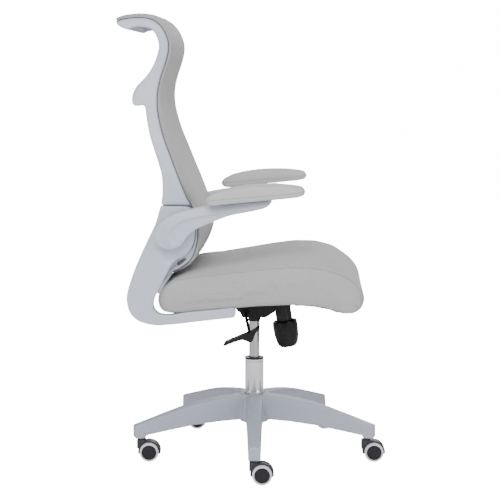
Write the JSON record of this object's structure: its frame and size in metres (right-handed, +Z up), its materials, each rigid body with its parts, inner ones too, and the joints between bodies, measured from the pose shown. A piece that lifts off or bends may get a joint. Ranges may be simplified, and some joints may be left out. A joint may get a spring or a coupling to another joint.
{
  "type": "office chair",
  "caption": "High-back office chair on a star base with castors, gas lift, reclining seat and back, head rest and flip-up armrests.",
  "frame": {"origin": "on the floor under the axis of the gas lift", "axes": "+Z up, the sitter faces -Y, the sitter's right hand is at -X"},
  "size_m": [0.6638, 0.6914, 1.1581],
  "materials": {
    "light_plastic": "satin moulded",
    "base_plastic": "satin moulded",
    "grey_fabric": "woven",
    "pad_foam": "soft foam skin",
    "bright_steel": "polished",
    "dark_plastic": "matt moulded",
    "black_steel": "powder coat",
    "steel": "zinc plated",
    "rubber": "matt",
    "plywood": "bare",
    "castor_plastic": "moulded",
    "castor_wheel": "moulded"
  },
  "bodies": {
    "base": {"star_base": "base_plastic", "castor_sockets": "steel", "castor_stems": "steel", "column_tube": "bright_steel", "guide_bush": "dark_plastic", "column_cap": "dark_plastic"},
    "spindle": {"gas_rod": "steel", "thrust_bearing": "steel", "retaining_clip": "steel", "bump_stop": "rubber"},
    "column": {"gas_cylinder": "steel", "mechanism_housing": "black_steel", "tilt_shaft": "steel", "spring_tube": "dark_plastic", "tension_spring": "steel"},
    "valve": {"valve_pin": "steel"},
    "tilt_lock": {"tilt_lock_slider": "dark_plastic"},
    "height_lever": {"lever_rod": "black_steel", "lever_paddle": "dark_plastic"},
    "tension_screw": {"tension_bolt": "steel", "tension_knob": "dark_plastic"},
    "seat": {"tilt_plate": "black_steel", "seat_pan": "plywood", "under_cover": "dark_plastic", "seat_cushion": "grey_fabric", "seat_bolts": "steel", "yoke_right": "light_plastic", "yoke_left": "light_plastic", "yoke_bolts": "steel", "arm_washers": "dark_plastic", "back_frame": "light_plastic", "back_panel": "grey_fabric", "coat_hanger": "light_plastic", "lumbar_plate": "dark_plastic", "arm_pin_right": "steel", "arm_pin_left": "steel"},
    "armrest_right": {"arm_right": "light_plastic", "arm_pad_right": "pad_foam"},
    "armrest_left": {"arm_left": "light_plastic", "arm_pad_left": "pad_foam"},
    "castor_1": {"castor_housing_1": "castor_plastic", "castor_axle_1": "steel"},
    "wheel_1a": {"castor_wheel_1a": "castor_wheel"},
    "wheel_1b": {"castor_wheel_1b": "castor_wheel"},
    "castor_2": {"castor_housing_2": "castor_plastic", "castor_axle_2": "steel"},
    "wheel_2a": {"castor_wheel_2a": "castor_wheel"},
    "wheel_2b": {"castor_wheel_2b": "castor_wheel"},
    "castor_3": {"castor_housing_3": "castor_plastic", "castor_axle_3": "steel"},
    "wheel_3a": {"castor_wheel_3a": "castor_wheel"},
    "wheel_3b": {"castor_wheel_3b": "castor_wheel"},
    "castor_4": {"castor_housing_4": "castor_plastic", "castor_axle_4": "steel"},
    "wheel_4a": {"castor_wheel_4a": "castor_wheel"},
    "wheel_4b": {"castor_wheel_4b": "castor_wheel"},
    "castor_5": {"castor_housing_5": "castor_plastic", "castor_axle_5": "steel"},
    "wheel_5a": {"castor_wheel_5a": "castor_wheel"},
    "wheel_5b": {"castor_wheel_5b": "castor_wheel"}
  },
  "joints": [
    {"name": "castor_1_swivel", "type": "hinge", "parent": "base", "child": "castor_1", "pos_m": [-0.30971, -0.01352, 0.05], "axis": [0, 0, 1], "continuous": true},
    {"name": "wheel_1a_spin", "type": "hinge", "parent": "castor_1", "child": "wheel_1a", "pos_m": [-0.30888, -0.0325, 0.025], "axis": [0.999, 0.0436, 0], "continuous": true},
    {"name": "wheel_1b_spin", "type": "hinge", "parent": "castor_1", "child": "wheel_1b", "pos_m": [-0.30888, -0.0325, 0.025], "axis": [0.999, 0.0436, 0], "continuous": true},
    {"name": "castor_2_swivel", "type": "hinge", "parent": "base", "child": "castor_2", "pos_m": [-0.08284, -0.29873, 0.05], "axis": [0, 0, 1], "continuous": true},
    {"name": "wheel_2a_spin", "type": "hinge", "parent": "castor_2", "child": "wheel_2a", "pos_m": [-0.08202, -0.31771, 0.025], "axis": [0.999, 0.0436, 0], "continuous": true},
    {"name": "wheel_2b_spin", "type": "hinge", "parent": "castor_2", "child": "wheel_2b", "pos_m": [-0.08202, -0.31771, 0.025], "axis": [0.999, 0.0436, 0], "continuous": true},
    {"name": "castor_3_swivel", "type": "hinge", "parent": "base", "child": "castor_3", "pos_m": [0.2585, -0.1711, 0.05], "axis": [0, 0, 1], "continuous": true},
    {"name": "wheel_3a_spin", "type": "hinge", "parent": "castor_3", "child": "wheel_3a", "pos_m": [0.25933, -0.19008, 0.025], "axis": [0.999, 0.0436, 0], "continuous": true},
    {"name": "wheel_3b_spin", "type": "hinge", "parent": "castor_3", "child": "wheel_3b", "pos_m": [0.25933, -0.19008, 0.025], "axis": [0.999, 0.0436, 0], "continuous": true},
    {"name": "castor_4_swivel", "type": "hinge", "parent": "base", "child": "castor_4", "pos_m": [0.24261, 0.19298, 0.05], "axis": [0, 0, 1], "continuous": true},
    {"name": "wheel_4a_spin", "type": "hinge", "parent": "castor_4", "child": "wheel_4a", "pos_m": [0.24344, 0.174, 0.025], "axis": [0.999, 0.0436, 0], "continuous": true},
    {"name": "wheel_4b_spin", "type": "hinge", "parent": "castor_4", "child": "wheel_4b", "pos_m": [0.24344, 0.174, 0.025], "axis": [0.999, 0.0436, 0], "continuous": true},
    {"name": "castor_5_swivel", "type": "hinge", "parent": "base", "child": "castor_5", "pos_m": [-0.10856, 0.29037, 0.05], "axis": [0, 0, 1], "continuous": true},
    {"name": "wheel_5a_spin", "type": "hinge", "parent": "castor_5", "child": "wheel_5a", "pos_m": [-0.10774, 0.27139, 0.025], "axis": [0.999, 0.0436, 0], "continuous": true},
    {"name": "wheel_5b_spin", "type": "hinge", "parent": "castor_5", "child": "wheel_5b", "pos_m": [-0.10774, 0.27139, 0.025], "axis": [0.999, 0.0436, 0], "continuous": true},
    {"name": "seat_swivel", "type": "hinge", "parent": "base", "child": "spindle", "pos_m": [0, 0, 0.09], "axis": [0, 0, 1], "continuous": true},
    {"name": "height", "type": "slide", "parent": "spindle", "child": "column", "axis": [0, 0, 1], "range_m": [-0.08, 0.02]},
    {"name": "recline", "type": "hinge", "parent": "column", "child": "seat", "pos_m": [0, -0.03, 0.4], "axis": [-1, 0, 0], "range_deg": [0, 13], "stiffness_Nm_per_rad": 90, "springref_deg": -20.05},
    {"name": "tilt_lock_push", "type": "slide", "parent": "column", "child": "tilt_lock", "axis": [-1, 0, 0], "range_m": [0, 0.01]},
    {"name": "height_lever_lift", "type": "hinge", "parent": "column", "child": "height_lever", "pos_m": [0, 0.02, 0.385], "axis": [1, 0, 0], "range_deg": [0, 8], "stiffness_Nm_per_rad": 2, "springref_deg": -14.32},
    {"name": "valve_press", "type": "slide", "parent": "column", "child": "valve", "axis": [0, 0, 1], "range_m": [-0.0033, 0]},
    {"name": "tension_turn", "type": "hinge", "parent": "column", "child": "tension_screw", "pos_m": [0, -0.076, 0.388], "axis": [0, 0.1478, 0.989], "continuous": true},
    {"name": "armrest_right_fold", "type": "hinge", "parent": "seat", "child": "armrest_right", "pos_m": [-0.26, 0.202, 0.612], "axis": [-1, 0, 0], "range_deg": [0, 90]},
    {"name": "armrest_left_fold", "type": "hinge", "parent": "seat", "child": "armrest_left", "pos_m": [0.26, 0.202, 0.612], "axis": [-1, 0, 0], "range_deg": [0, 90]}
  ],
  "couplings": [
    {"joint": "valve_press", "follows": "height_lever_lift", "m_per_rad": -0.0229}
  ]
}
